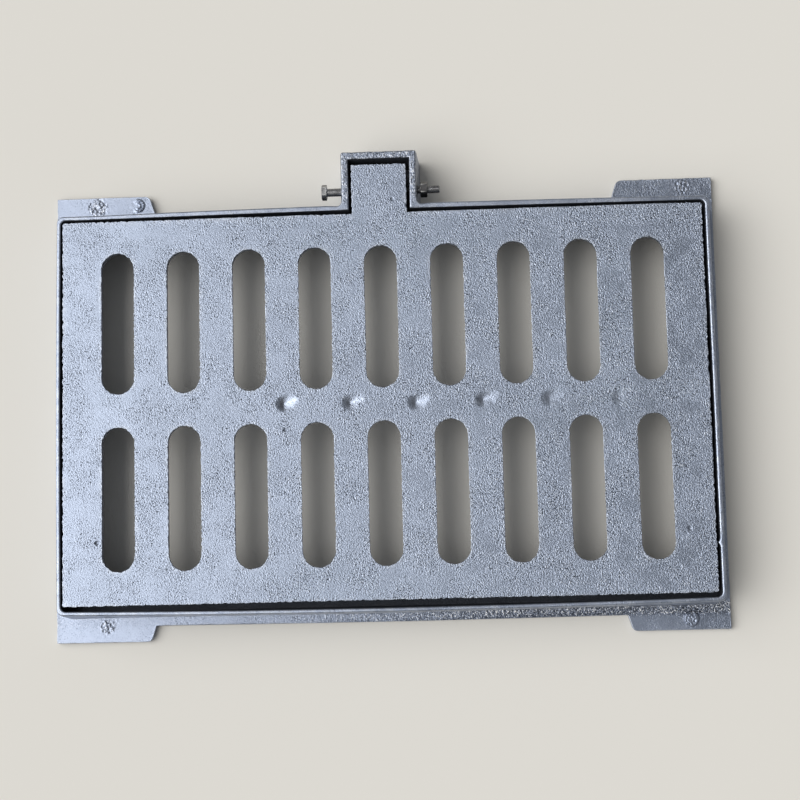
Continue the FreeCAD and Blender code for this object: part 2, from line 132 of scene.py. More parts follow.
# Ripples of the as-cast skin: size of the bumps, seed. A dent or patch has its own seed, from its place
DENT_SEED = 100
PATCH_SEED = 50
CRUMBLE = (2.2 * MM, 0.0)
WAVE = (8.0 * MM, 3.1)
DISC_SKIN = (1.6 * MM, 7.7)
BOX_SKIN = (2.5 * MM, 4.4)
RIM_SKIN = (4.0 * MM, 6.3)
FLANGE_EDGE = (3.0 * MM, 1.7)
FLANGE_SKIN = (2.0 * MM, 9.2)
RIPPLE_MEAN = 0.5
RIPPLE_GAIN = 0.6

# How far the ripples eat into the castings, in millimetres
OUTLINE_CRUMBLE = 1.45
SLOT_CRUMBLE = 0.95
CRUMBLE_MEAN = 0.42
WAVE_HEIGHT = 0.15
BOX_WEAR = 0.9
RIM_WEAR = 0.15
FLANGE_EDGE_WEAR = 0.55
FLANGE_WEAR = 0.05
CRUST_WEAR = 0.75

# Shrinkage dents on the web between the slot rows, over the rib crossings: x, y, depth
DENTS = [
    (-77.5 * MM, -9.4 * MM, 1.90 * MM),
    (-26.2 * MM, -9.6 * MM, 1.55 * MM),
    (24.7 * MM, -10.6 * MM, 1.50 * MM),
    (76.5 * MM, -9.8 * MM, 1.25 * MM),
    (127.5 * MM, -10.4 * MM, 0.90 * MM),
    (180.0 * MM, -10.8 * MM, 0.70 * MM),
]
DENT_STEEP_SIDE = 6.5 * MM
DENT_GENTLE_SIDE = 12.0 * MM
DENT_HALF_WIDTH = 6.5 * MM
DENT_REACH = 13.0 * MM
DENT_LEAN = Matrix.Rotation(math.radians(-20), 2)
DENT_RIPPLE = 5.0 * MM
DENT_WOBBLE = (0.85, 0.3)
DENT_BORDER = 2.5
DENT_LEVEL = GRATE_TOP - 3.0 * MM
# Painted shade on the dents' steep left sides, which face away from the light, and how far it is shifted
DENT_SHADE = 0.5
SHADE_SHIFT = Vector((-1.5 * MM, 0, 0))

# Small pits in the grate's face: x, y, radius, depth
PITS = [
    (-223.3 * MM, -112.8 * MM, 1.8 * MM, 0.8 * MM),
    (-76.6 * MM, -29.4 * MM, 1.6 * MM, 0.9 * MM),
    (10.2 * MM, 149.7 * MM, 1.6 * MM, 0.8 * MM),
    (230.4 * MM, -112.7 * MM, 1.9 * MM, 0.8 * MM),
]
PIT_RIM = 1.2
# Painted shade in the pits
PIT_SHADE = 0.2

# Casting marks on the lugs: kind, x, y, radius, relief
MARKS = [
    ("disc", 233.6 * MM, -181.4 * MM, 6.2 * MM, 1.1 * MM),
    ("patch", -223.6 * MM, -177.9 * MM, 6.5 * MM, 0.5 * MM),
    ("patch", -230.9 * MM, 159.8 * MM, 8.5 * MM, 0.6 * MM),
    ("ring", -198.1 * MM, 160.3 * MM, 4.5 * MM, 0.9 * MM),
    ("patch", 241.0 * MM, 160.7 * MM, 7.5 * MM, 0.5 * MM),
]
MARK_MARGIN = 2.5 * MM
DISC_ROUGHNESS = (0.75, 0.5)
DISC_SLOPE = 0.9 * MM
PATCH_RIPPLE = 2.0 * MM
PATCH_GAIN = 1.6
PATCH_BASE = 0.3
PATCH_SLOPE = 2.5 * MM

# The ring mark is two rings, open on one side: share of the relief, share of the radius, width
RINGS = [(1.0, 1.0, 0.75 * MM), (0.8, 0.5, 0.6 * MM)]
RING_OPENING = (1.6, 0.6)

# Burnt-on crust along the foot of the front wall: where it lies, how softly it ends, and how it grows to the right
CRUST_TOP = 9.0 * MM
CRUST_FRONT = -167.8 * MM
CRUST_END = -179.3 * MM
CRUST_FRONT_FADE = 1.0 * MM
CRUST_END_FADE = 3.0 * MM
CRUST_TOP_FADE = 2.5 * MM
CRUST_START = -0.12
CRUST_RUN = 0.25
CRUST_LEAST = 0.08
CRUST_GROWTH = 0.92

# Crust on the rear right lug, on the patch marks and on top of the hinge box
CRUST_LUG = 178.0 * MM
LUG_FADES = (5.0 * MM, 8.0 * MM)
LUG_CRUST = 0.12
PATCH_CRUST = 0.45
BOX_INSET = 1.0 * MM
BOX_WALL = 7.0 * MM
BOX_START = 3.0 * MM
BOX_FADE = 6.0 * MM
BOX_CRUST = 0.5

# The frame's sides bow, so its gap to the grate narrows towards the corners
BOW_FRONT = -150.0 * MM
BOW_REAR = 130.0 * MM
BOW_SIDE = 240.0 * MM
BOW_FADE = 12.0 * MM
BOW_HINGE = 30.0 * MM

# The shape of each bow in millimetres
FRONT_RISE = 2.5
FRONT_BULGE = 0.8
REAR_BULGE = 0.7
REAR_TILT = 0.2
REAR_FALL = 2.2
REAR_LEAST = -1.2
LEFT_LEAN = 0.5
LEFT_RISE = 0.7

# A bead of iron on the inner edge of the right rim: x, y, radius, how far it stands out
BEAD = (252.2 * MM, -123.9 * MM, 2.2 * MM, 1.5 * MM)

# The triangulation keeps what lies inside the outer outline
INSIDE_OUTLINE = 1


def new_piece(name, bm, node, body, material):
    """Turn a finished mesh into the piece that stands for a node."""
    mesh = bpy.data.meshes.new(name)
    bm.to_mesh(mesh)
    bm.free()
    mesh.materials.append(material)
    piece = bpy.data.objects.new(name, mesh)
    bpy.context.scene.collection.objects.link(piece)
    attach(piece, body)
    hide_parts(node)


def ripple(point, size, seed):
    """Smooth noise from 0 to 1 with bumps of about that size."""
    value = noise.noise(point / size + Vector((seed, seed, seed)))
    return min(max(RIPPLE_MEAN + RIPPLE_GAIN * value, 0.0), 1.0)


def smooth_step(value):
    """Ease a value from 0 to 1."""
    value = min(max(value, 0.0), 1.0)
    return value * value * (3 - 2 * value)


def rounded_casting(node, roundings):
    """The node's shape with its edges rounded. Vertices on the rounded edges carry 1 in the layer named edge."""
    bm = bmesh.new()
    bm.from_mesh(frame["nodes"][node].data)
    edge_layer = bm.verts.layers.float.new("edge")
    for name in ("painted_shade", "crust", "polish_and_highlight"):
        bm.verts.layers.float.new(name)
    rounding = bm.faces.layers.int.new("rounding")
    bmesh.ops.remove_doubles(bm, verts=bm.verts, dist=WELD)
    bmesh.ops.dissolve_limit(bm, angle_limit=FLAT_ANGLE, verts=bm.verts, edges=bm.edges)
    for lowest, radius, segments in roundings:
        sharp = [edge for edge in bm.edges if edge.is_manifold and edge.calc_face_angle() > SHARP_ANGLE
                 and min(vert.co.z for vert in edge.verts) > lowest]
        rounded = bmesh.ops.bevel(
            bm, geom=sharp, offset=radius, offset_type="OFFSET", segments=segments,
            profile=0.5, affect="EDGES", clamp_overlap=False,
        )
        for face in rounded["faces"]:
            face[rounding] = 1
            for vert in face.verts:
                vert[edge_layer] = 1.0
    return bm


def divide_sides(bm, lines, bands, step):
    """Divide the rounded edges within bands of height, and the sides along lines there.

    The lines stay in place where the edges are rough, so that the sides beyond them stay even.
    """
    layer = bm.verts.layers.float["edge"]
    bmesh.ops.connect_verts_concave(bm, faces=[face for face in bm.faces if abs(face.normal.z) < SIDE_RISE])
    for level in lines:
        whole = [*bm.verts, *bm.edges, *bm.faces]
        bmesh.ops.bisect_plane(bm, geom=whole, dist=WELD, plane_co=(0, 0, level), plane_no=(0, 0, 1))
    mark_lines(bm, lines, layer, 1.0)
    divide_edges(bm, bands, step)
    mark_lines(bm, lines, layer, 0.0)


def mark_lines(bm, lines, layer, value):
    """Set a layer's value on the vertices that lie on the lines."""
    for vert in bm.verts:
        if any(abs(vert.co.z - level) < LEVEL_SLACK for level in lines):
            vert[layer] = value


def divide_edges(bm, bands, step):
    """Give the level ones of the rounded edges within bands of height a vertex at every step along them."""
    layer = bm.verts.layers.float["edge"]
    groups = {}
    for edge in bm.edges:
        first, second = edge.verts
        if min(first[layer], second[layer]) < 1.0 or abs(first.co.z - second.co.z) > LEVEL_SLACK:
            continue
        if not any(lowest < first.co.z < highest for lowest, highest in bands):
            continue
        cuts = int(edge.calc_length() / step)
        if cuts > 0:
            groups.setdefault(cuts, []).append(edge)
    for cuts, edges in sorted(groups.items()):
        bmesh.ops.subdivide_edges(bm, edges=edges, cuts=cuts, use_grid_fill=True)


def scattered(low, high, step, border):
    """Points over a rectangle in staggered rows, clear of the border, so that they make even triangles."""
    clearance = max(BORDER_SHARE * step, BORDER_LEAST)
    points = []
    rows = int((high.y - low.y) / step)
    columns = int((high.x - low.x) / step)
    for row in range(rows + 1):
        for column in range(columns + 1):
            x = low.x + (column + 0.25 + 0.5 * (row % 2)) * step
            point = Vector((x, low.y + (row + 0.5) * step))
            if border.find(point.to_3d())[2] > clearance:
                points.append(point)
    return points


def inside_triangles(triangles, outline):
    """The triangles that lie on the left of a directed outline, with those they join without crossing it."""
    sides = {}
    for index, (a, b, c) in enumerate(triangles):
        for side in ((a, b), (b, c), (c, a)):
            sides[side] = index
    waiting = [sides[side] for side in outline if side in sides]
    found = set(waiting)
    while waiting:
        a, b, c = triangles[waiting.pop()]
        for start, end in ((a, b), (b, c), (c, a)):
            other = sides.get((end, start))
            if other is not None and other not in found and (start, end) not in outline:
                found.add(other)
                waiting.append(other)
    return [triangles[index] for index in sorted(found)]


def remesh_level(bm, level, step, spots):
    """Replace the flat faces at a level by even triangles, finer within the spots of (x, y, reach, step)."""
    flat = [face for face in bm.faces if all(abs(vert.co.z - level) < LEVEL_SLACK for vert in face.verts)]
    inside = set(flat)
    verts = []
    number = {}
    outline = []
    for face in flat:
        for loop in face.loops:
            if sum(other in inside for other in loop.edge.link_faces) == 1:
                for vert in (loop.vert, loop.link_loop_next.vert):
                    if vert not in number:
                        number[vert] = len(verts)
                        verts.append(vert)
                outline.append((number[loop.vert], number[loop.link_loop_next.vert]))
    points = [vert.co.to_2d() for vert in verts]
    border = kdtree.KDTree(len(points))
    for index, point in enumerate(points):
        border.insert(point.to_3d(), index)
    border.balance()
    low = Vector((min(point.x for point in points), min(point.y for point in points)))
    high = Vector((max(point.x for point in points), max(point.y for point in points)))
    for x, y, reach, fine in spots:
        corner = Vector((reach, reach))
        points.extend(scattered(Vector((x, y)) - corner, Vector((x, y)) + corner, fine, border))
    for point in scattered(low, high, step, border):
        if not any(near(point, x, y, reach) for x, y, reach, _ in spots):
            points.append(point)
    places, _, triangles, origins, _, _ = geometry.delaunay_2d_cdt(points, outline, [], INSIDE_OUTLINE, WELD)
    place_of = {origin: index for index, known in enumerate(origins) for origin in known}
    directed = {(place_of[start], place_of[end]) for start, end in outline}
    bmesh.ops.delete(bm, geom=flat, context="FACES")
    corners = {place_of[index]: vert for index, vert in enumerate(verts) if vert.is_valid}
    for triangle in inside_triangles(triangles, directed):
        for index in triangle:
            if index not in corners:
                corners[index] = bm.verts.new((places[index].x, places[index].y, level))
        bm.faces.new([corners[index] for index in triangle])


def close_casting(bm):
    """Finish a casting's mesh as smooth-shaded triangles that all face outwards."""
    bmesh.ops.triangulate(bm, faces=[face for face in bm.faces if len(face.verts) > 3])
    bmesh.ops.dissolve_degenerate(bm, dist=WELD, edges=bm.edges)
    bmesh.ops.triangulate(bm, faces=[face for face in bm.faces if len(face.verts) > 3])
    bmesh.ops.recalc_face_normals(bm, faces=bm.faces)
    for face in bm.faces:
        face.smooth = True
    bm.normal_update()


def near(point, x, y, reach):
    """Whether a point lies in the square of that reach."""
    return abs(point.x - x) < reach and abs(point.y - y) < reach


def grate_move(point, normal, edge):
    """How the grate's as-cast skin differs from its nominal shape."""
    move = Vector()
    if point.z < GRATE_TOP - GRATE_FACE_DEPTH:
        return move
    outward = Vector((normal.x, normal.y, 0))
    if edge > ON_EDGE and outward.length > 0:
        crumbly = OUTLINE_CRUMBLE if on_outline(point) else SLOT_CRUMBLE
        ragged = crumbly * (ripple(point, *CRUMBLE) ** 2 - CRUMBLE_MEAN) + WAVE_HEIGHT * ripple(point, *WAVE)
        move -= outward.normalized() * ragged * MM
    for x, y, deep in DENTS:
        move.z -= deep * dent_share(point, x, y)
    for x, y, radius, deep in PITS:
        move.z -= deep * pit_share(point, x, y, radius)
    return move


def pit_share(point, x, y, radius):
    """Depth of a pit at a point as a share of its greatest depth."""
    return smooth_step(PIT_RIM - math.hypot(point.x - x, point.y - y) / radius)


def dent_share(point, x, y):
    """Depth of a dent at a point as a share of its greatest depth."""
    if not near(point, x, y, DENT_REACH):
        return 0.0
    along, across = DENT_LEAN @ Vector((point.x - x, point.y - y))
    side = DENT_GENTLE_SIDE if along > 0 else DENT_STEEP_SIDE
    wobble = DENT_WOBBLE[0] + DENT_WOBBLE[1] * ripple(point, DENT_RIPPLE, x * DENT_SEED)
    return max(0.0, 1 - math.hypot(along / side, across / DENT_HALF_WIDTH) * wobble)


def dent_polish_and_highlight(point):
    """How free of grain a point is: the dents are smoother than the face around them, and lightened with a painted
    highlight.
    """
    if point.z < DENT_LEVEL:
        return 0.0
    return max(smooth_step(DENT_BORDER * dent_share(point, x, y)) * deep / DENTS[0][2] for x, y, deep in DENTS)


def dent_shade(point):
    """How much painted shade a point gets: shade painted on the steep left sides of the dents, which face away
    from the light.
    """
    shifted = point + SHADE_SHIFT
    return max(smooth_step(DENT_BORDER * dent_share(shifted, x, y)) * (point.x < x) * deep / DENTS[0][2]
               for x, y, deep in DENTS)


def on_outline(point):
    """Whether a point of the grate's top lies on the plate's outer edge rather than on a slot."""
    return abs(point.x) > PLATE_SIDE or not PLATE_FRONT < point.y < PLATE_REAR


def mark_height(point):
    """Relief of the casting marks above a lug's face."""
    height = 0.0
    for kind, x, y, radius, relief in MARKS:
        away = math.hypot(point.x - x, point.y - y)
        if away > radius + MARK_MARGIN:
            continue
        if kind == "disc":
            rough = DISC_ROUGHNESS[0] + DISC_ROUGHNESS[1] * ripple(point, *DISC_SKIN)
            height += relief * rough * smooth_step((radius - away) / DISC_SLOPE)
        elif kind == "ring":
            angle = math.atan2(point.y - y, point.x - x)
            open_side = smooth_step(RING_OPENING[0] - abs(angle) * RING_OPENING[1])
            for share, reach, width in RINGS:
                height += share * relief * open_side * math.exp(-((away - radius * reach) / width) ** 2)
        else:
            rough = ripple(point, PATCH_RIPPLE, x * PATCH_SEED)
            height += PATCH_GAIN * relief * (rough - PATCH_BASE) * smooth_step((radius - away) / PATCH_SLOPE)
    return height


def frame_move(point, normal, edge):
    """How the frame's as-cast skin differs from its nominal shape."""
    move = frame_bow(point)
    outward = Vector((normal.x, normal.y, 0))
    crust = crust_at(point)
    if point.z > GRATE_TOP - RIM_DEPTH:
        move.z = -BOX_WEAR * MM * crust * ripple(point, *BOX_SKIN)
        if outward.length > 0:
            move -= outward.normalized() * (RIM_WEAR + crust) * MM * ripple(point, *RIM_SKIN)
        move.x -= BEAD[3] * pit_share(point, *BEAD[:3])
    elif abs(point.z - FLANGE_TOP) < FRAME_FACE_DEPTH:
        if edge > ON_EDGE and outward.length > 0:
            move -= outward.normalized() * FLANGE_EDGE_WEAR * MM * ripple(point, *FLANGE_EDGE)
        else:
            move.z = mark_height(point) - (FLANGE_WEAR + CRUST_WEAR * crust) * MM * ripple(point, *FLANGE_SKIN)
    return move


def frame_bow(point):
    """How far the frame's sides lean off their straight lines. The seat, the lugs and the hinge box stay."""
    along = point.x / OPENING_SIDE
    across = (2 * point.y - OPENING_FRONT - OPENING_REAR) / (OPENING_REAR - OPENING_FRONT)
    front = (FRONT_RISE * along ** 2 - FRONT_BULGE) * smooth_step((BOW_FRONT - point.y) / BOW_FADE)
    if point.z < CRUST_TOP:
        return Vector((0, min(front, 0.0) * MM, 0))
    beside_hinge = smooth_step((abs(point.x) - BOW_HINGE) / BOW_FADE)
    rear = max(REAR_BULGE + REAR_TILT * along - REAR_FALL * along ** 2, REAR_LEAST)
    rear *= beside_hinge * smooth_step((point.y - BOW_REAR) / BOW_FADE)
    left = (LEFT_LEAN + LEFT_RISE * across ** 2) * smooth_step((-BOW_SIDE - point.x) / BOW_FADE)
    lean = min(max((point.z - SEAT_TOP) / (GRATE_TOP - SEAT_TOP), 0.0), 1.0)
    return Vector((left, front + rear, 0)) * lean * MM


def crust_at(point):
    """Share of the burnt-on crust at a point of the frame."""
    if point.z < CRUST_TOP:
        beside_wall = smooth_step((CRUST_FRONT - point.y) / CRUST_FRONT_FADE)
        beside_wall *= smooth_step((point.y - CRUST_END) / CRUST_END_FADE)
        beside_wall *= smooth_step((CRUST_TOP - point.z) / CRUST_TOP_FADE)
        on_lug = smooth_step((point.x - CRUST_LUG) / LUG_FADES[0])
        on_lug *= smooth_step((point.y - OPENING_REAR) / LUG_FADES[1])
        on_patch = max(smooth_step((radius - math.hypot(point.x - x, point.y - y)) / PATCH_SLOPE)
                       for kind, x, y, radius, _ in MARKS if kind == "patch")
        front = beside_wall * (CRUST_LEAST + CRUST_GROWTH * smooth_step((point.x - CRUST_START) / CRUST_RUN))
        return max(front, LUG_CRUST * on_lug, PATCH_CRUST * on_patch)
    on_box = abs(point.x) > BOX_SIDE - BOX_INSET or point.y > BOX_REAR - BOX_INSET
    if on_box and abs(point.x) < BOX_SIDE + BOX_WALL and point.z > GRATE_TOP - RIM_DEPTH:
        return BOX_CRUST * smooth_step((point.y - OPENING_REAR - BOX_START) / BOX_FADE)
    return 0.0


def lay_skin(bm, node, move_at, painted_shade_at):
    """Move every vertex from its nominal place to the as-cast one, within the nominal bounds, and mark it."""
    low, high = CAD_BOUNDS[0].copy(), CAD_BOUNDS[1].copy()
    low.z, high.z = (corner.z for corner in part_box(node))
    edge_layer = bm.verts.layers.float["edge"]
    painted_shade = bm.verts.layers.float["painted_shade"]
    crust = bm.verts.layers.float["crust"]
    polish_and_highlight = bm.verts.layers.float["polish_and_highlight"]
    moves = [(vert, move_at(vert.co, vert.normal, vert[edge_layer])) for vert in bm.verts]
    for vert, move in moves:
        # Each vertex carries its painted shade, its crust and its polish with painted highlight
        vert[painted_shade] = painted_shade_at(vert.co)
        vert[crust] = crust_at(vert.co)
        vert[polish_and_highlight] = dent_polish_and_highlight(vert.co)
        vert.co = [min(max(value, least), most) for value, least, most in zip(vert.co + move, low, high)]
    bm.normal_update()
    rounding = bm.faces.layers.int["rounding"]
    for edge in bm.edges:
        first, second = edge.link_faces
        same_kind = first[rounding] == second[rounding]
        edge.smooth = same_kind and edge.calc_face_angle() < SHADE_ANGLE


def grate_painted_shade(point):
    """How much painted shade a point of the grate gets: on its outer sides, or in a dent or pit."""
    if point.z < GRATE_TOP - GRATE_FACE_DEPTH:
        return GAP_PAINTED_SHADE if on_outline(point) else 0.0
    in_pit = max(PIT_SHADE * pit_share(point, x, y, radius) for x, y, radius, _ in PITS)
    return max(DENT_SHADE * dent_shade(point), in_pit)


def frame_painted_shade(point):
    """How much painted shade a point of the frame gets: below the rim, within the opening or the hinge box."""
    in_opening = abs(point.x) < OPENING_SIDE and OPENING_FRONT < point.y < OPENING_REAR
    in_box = abs(point.x) < BOX_SIDE and 0 < point.y < BOX_REAR
    return GAP_PAINTED_SHADE if point.z < GRATE_TOP - FRAME_FACE_DEPTH and (in_opening or in_box) else 0.0


def grate_mesh():
    """The grate with ragged top edges, and with dents and pits in its face."""
    bm = rounded_casting("grate", GRATE_ROUNDINGS)
    divide_sides(bm, GRATE_LINES, GRATE_BANDS, GRATE_STEP)
    spots = [(x, y, DENT_REACH, DENT_STEP) for x, y, _ in DENTS]
    spots += [(x, y, radius * PIT_SPOT, MARK_STEP) for x, y, radius, _ in PITS]
    remesh_level(bm, GRATE_TOP, FACE_STEP, spots)
    close_casting(bm)
    lay_skin(bm, "grate", grate_move, grate_painted_shade)
    return bm


def frame_mesh():
    """The frame with bowed sides, a rough flange and rim, a bead on the rim and casting marks on its lugs."""
    bm = rounded_casting("frame", FRAME_ROUNDINGS)
    divide_sides(bm, FRAME_LINES, FRAME_BANDS, FRAME_STEP)
    spots = [(x, y, radius + MARK_MARGIN, MARK_STEP) for _, x, y, radius, _ in MARKS]
    remesh_level(bm, FLANGE_TOP, FLANGE_STEP, spots)
    divide_edges(bm, [SEAT_BAND], SEAT_STEP)
    remesh_level(bm, SEAT_TOP, SEAT_STEP, [])
    remesh_level(bm, GRATE_TOP, FACE_STEP, [BOX_SPOT])
    close_casting(bm)
    lay_skin(bm, "frame", frame_move, frame_painted_shade)
    return bm


# Fasteners
HEXAGON_SIDES = 6
TURN_STEPS = 72
ACROSS_FLATS = 11 * MM
SHANK_RADIUS = 3.15 * MM
HEAD_HEIGHT = 4 * MM
NUT_BORE = 3.2 * MM
THREAD_PITCH = 1.0 * MM
THREAD_DEPTH = 0.42 * MM
THREAD_LENGTH = 24 * MM
THREAD_STEPS = 8
THREAD_RUNOUT = 2
THREAD_FLANKS = (1.25, 4)
POINT_LENGTH = 0.8 * MM
POINT_SLOPE = 0.7

# Chamfers and fillets, the shares being of half the width across flats or of the shank's radius
CHAMFER_SLOPE = math.tan(math.radians(60))
HEAD_CHAMFERS = [0.0, 0.12 * MM, 0.25 * MM, 0.38 * MM, 0.52 * MM, 0.9 * MM]
HEAD_FACE_SHARE = 0.985
DISH_DEPTH = 0.15 * MM
DISH_SHARE = 0.55
DISH_RIM_SHARE = 0.66
FILLET = 0.5 * MM
FILLET_SHARE = 1.2
NUT_CHAMFERS = [0.2 * MM, 0.4 * MM, 0.6 * MM]
NUT_FACE_SHARE = 0.99
BORE_CHAMFER = 0.35 * MM

# Rings of the plain shank about the box's left wall, so that the painted shade changes there
SHANK_RINGS = [-BOX_SIDE - 3.0 * MM, -BOX_SIDE - 1.0 * MM, -BOX_SIDE + 1.0 * MM, 0.0]

# Painted shade on their sides and below: how much, up to which share of the radius, and how softly it ends
FASTENER_SHADE = 0.85
FASTENER_SHADE_LEVEL = 0.80
FASTENER_SHADE_FADE = 0.5


def hexagon_radius(angle):
    """Distance from the axis to the side of the hexagon, whose flat is uppermost."""
    sector = 2 * math.pi / HEXAGON_SIDES
    within = (angle + sector / 2) % sector - sector / 2
    return ACROSS_FLATS / 2 / math.cos(within)


def ring(bm, x, radius_at):
    """One ring of vertices round the hinge axis."""
    verts = []
    for step in range(TURN_STEPS):
        angle = 2 * math.pi * step / TURN_STEPS
        radius = radius_at(angle)
        place = Vector((x, AXIS.y + radius * math.sin(angle), AXIS.z + radius * math.cos(angle)))
        verts.append(bm.verts.new(place))
    return verts


def join_rings(bm, rings, closed):
    """Skin a run of rings, back to the first one where closed."""
    pairs = list(zip(rings, rings[1:]))
    if closed:
        pairs.append((rings[-1], rings[0]))
    for near_ring, far_ring in pairs:
        for step in range(TURN_STEPS):
            after = (step + 1) % TURN_STEPS
            bm.faces.new((near_ring[step], near_ring[after], far_ring[after], far_ring[step]))
    if not closed:
        bm.faces.new(rings[0])
        bm.faces.new(rings[-1])


def finish_fastener(bm):
    """Mark the painted shade on a fastener, all of it within the box, and shade its faces."""
    painted_shade = bm.verts.layers.float.new("painted_shade")
    for vert in bm.verts:
        away = math.hypot(vert.co.y - AXIS.y, vert.co.z - AXIS.z)
        underside_shade = FASTENER_SHADE * smooth_step((FASTENER_SHADE_LEVEL - (vert.co.z - AXIS.z) / away) / FASTENER_SHADE_FADE)
        vert[painted_shade] = 1.0 if abs(vert.co.x) < BOX_SIDE else underside_shade
    bmesh.ops.recalc_face_normals(bm, faces=bm.faces)
    for face in bm.faces:
        face.smooth = True
    for edge in bm.edges:
        edge.smooth = edge.calc_face_angle() < SHADE_ANGLE
    return bm


def bolt_mesh():
    """A hexagon bolt with a chamfered head and a cut thread on its far end."""
    low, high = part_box("hinge_bolt")
    bm = bmesh.new()
    rings = []

    def add(x, radius_at):
        rings.append(ring(bm, x, radius_at))

    flat = ACROSS_FLATS / 2
    add(low.x + DISH_DEPTH, lambda angle: flat * DISH_SHARE)
    add(low.x, lambda angle: flat * DISH_RIM_SHARE)
    for depth in HEAD_CHAMFERS:
        limit = flat * HEAD_FACE_SHARE + depth * CHAMFER_SLOPE
        add(low.x + depth, lambda angle, limit=limit: min(hexagon_radius(angle), limit))
    add(low.x + HEAD_HEIGHT, hexagon_radius)
    add(low.x + HEAD_HEIGHT, lambda angle: SHANK_RADIUS * FILLET_SHARE)
    add(low.x + HEAD_HEIGHT + FILLET, lambda angle: SHANK_RADIUS)
    thread_start = high.x - THREAD_LENGTH
    for x in (*SHANK_RINGS, thread_start - FILLET):
        add(x, lambda angle: SHANK_RADIUS)
    steps = round(THREAD_LENGTH / THREAD_PITCH * THREAD_STEPS)
    for step in range(steps + 1):
        x = thread_start + THREAD_LENGTH * step / steps
        depth = THREAD_DEPTH * smooth_step((x - thread_start) / (THREAD_RUNOUT * THREAD_PITCH))
        point = max(0.0, x - (high.x - POINT_LENGTH))

        def radius_at(angle, x=x, depth=depth, point=point):
            turn = ((x - thread_start) / THREAD_PITCH - angle / (2 * math.pi)) % 1.0
            groove = smooth_step(THREAD_FLANKS[0] - abs(turn - 0.5) * THREAD_FLANKS[1])
            return SHANK_RADIUS - depth * groove - point * POINT_SLOPE

        add(x, radius_at)
    join_rings(bm, rings, closed=False)
    return finish_fastener(bm)


def nut_mesh():
    """A hexagon nut chamfered on both faces."""
    low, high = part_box("hinge_nut")
    bm = bmesh.new()
    flat = ACROSS_FLATS / 2
    rings = []
    profile = [(low.x, NUT_BORE + BORE_CHAMFER), (low.x, flat * NUT_FACE_SHARE)]
    for depth in NUT_CHAMFERS:
        profile.append((low.x + depth, flat * NUT_FACE_SHARE + depth * CHAMFER_SLOPE))
    for depth in (*reversed(NUT_CHAMFERS), 0.0):
        profile.append((high.x - depth, flat * NUT_FACE_SHARE + depth * CHAMFER_SLOPE))
    profile.append((high.x, NUT_BORE + BORE_CHAMFER))
    for x, limit in profile:
        rings.append(ring(bm, x, lambda angle, limit=limit: min(hexagon_radius(angle), limit)))
    for x in (high.x - BORE_CHAMFER, low.x + BORE_CHAMFER):
        rings.append(ring(bm, x, lambda angle: NUT_BORE))
    join_rings(bm, rings, closed=True)
    return finish_fastener(bm)


# Noise of the coated iron and the steel: scale, detail, roughness
PATCHES = (26.0, 3.0, 0.5)
MOTTLE = (150.0, 4.0, 0.6)
GRAIN_PATCHES = (60.0, 2.0, 0.5)
SAND = (950.0, 2.0, 0.5)
FINE = (2400.0, 2.0, 0.5)
SMUDGES = (160.0, 3.0, 0.5)
SPECKS = (900.0, 3.0, 0.6)

# Which part of a value counts, and the share it is mapped to: from low, from high, to low, to high
GRAIN_SPREAD = (0.36, 0.60, 0.45, 1.45)
ROUGHER_TO_RIGHT = (-0.25, 0.25, 0.45, 1.4)
SHINIER_TO_RIGHT = (-0.25, 0.25, 0.2, 1.7)
SPECKLE_SHARE = (0.45, 0.75, 0.0, 0.30)
WORN_SHARE = (0.40, 0.62, 0.0, 0.40)
# Painted highlight in the dents
POLISH_HIGHLIGHT_SHARE = (0.0, 1.0, 0.0, 0.2)
SCORCHED_SHARE = (0.40, 0.60, 0.75, 0.0)
ASHEN_SHARE = (0.55, 0.66, 0.0, 0.9)
# Painted shade
PAINTED_SHADE_SHARE = (0.0, 0.6, 0.0, 0.9)
DULL_GAIN = (0.0, 0.6, 0.0, 0.4)
POLISH_GAIN = (0.0, 1.0, 0.0, -0.1)
POLISH_GRAIN = (0.0, 1.0, 1.0, 0.25)
TARNISH_SHARE = (0.56, 0.68, 0.0, 0.6)
CORNER_SHARE = (0.53, 0.62, 0.0, 0.7)

# Where the sand shows pores and painted glints, and their share on a bare and on a grainy face
PORE_SAND = (0.31, 0.41)
PORE_SHARES = (0.2, 0.75)
GLINT_SAND = (0.57, 0.68)
GLINT_SHARES = (0.1, 0.45)

# Other values of the coated iron
TONE_STOPS = (0.30, 0.52, 0.72)
EDGE_POWER = 3.0
IRON_METAL = 0.9
GLOSS_PATCHES = (0.35, 0.65)
IRON_ROUGHNESS = (0.29, 0.36)
SAND_STRENGTH = 0.9
SAND_HEIGHT = 0.60 * MM
FINE_STRENGTH = 0.5
FINE_HEIGHT = 0.15 * MM
WORN_COLOUR = (0.52, 0.55, 0.60)
PORE_COLOUR = (0.03, 0.034, 0.042)
# Light specks painted as glints
PAINTED_GLINT_COLOUR = (0.62, 0.66, 0.73)
# Dents lightened with a painted highlight
POLISH_HIGHLIGHT_COLOUR = (0.42, 0.46, 0.54)
SCORCHED_COLOUR = (0.02, 0.02, 0.02)
ASHEN_COLOUR = (0.82, 0.80, 0.76)
# Painted shade for the gaps, dents and pits
PAINTED_SHADE_COLOUR = (0.035, 0.035, 0.038)

# Other values of the steel
STEEL_STOPS = (0.30, 0.55, 0.75)
STEEL_METAL = 0.85
GLOSS_SMUDGES = (0.3, 0.7)
STEEL_DULLNESS = 0.18
SPECK_STRENGTH = 0.3
SPECK_HEIGHT = 0.05 * MM
TARNISH_COLOUR = (0.09, 0.065, 0.05)
CORNER_COLOUR = (0.62, 0.62, 0.60)
# Painted shade on the fasteners
STEEL_SHADE_COLOUR = (0.02, 0.02, 0.02)


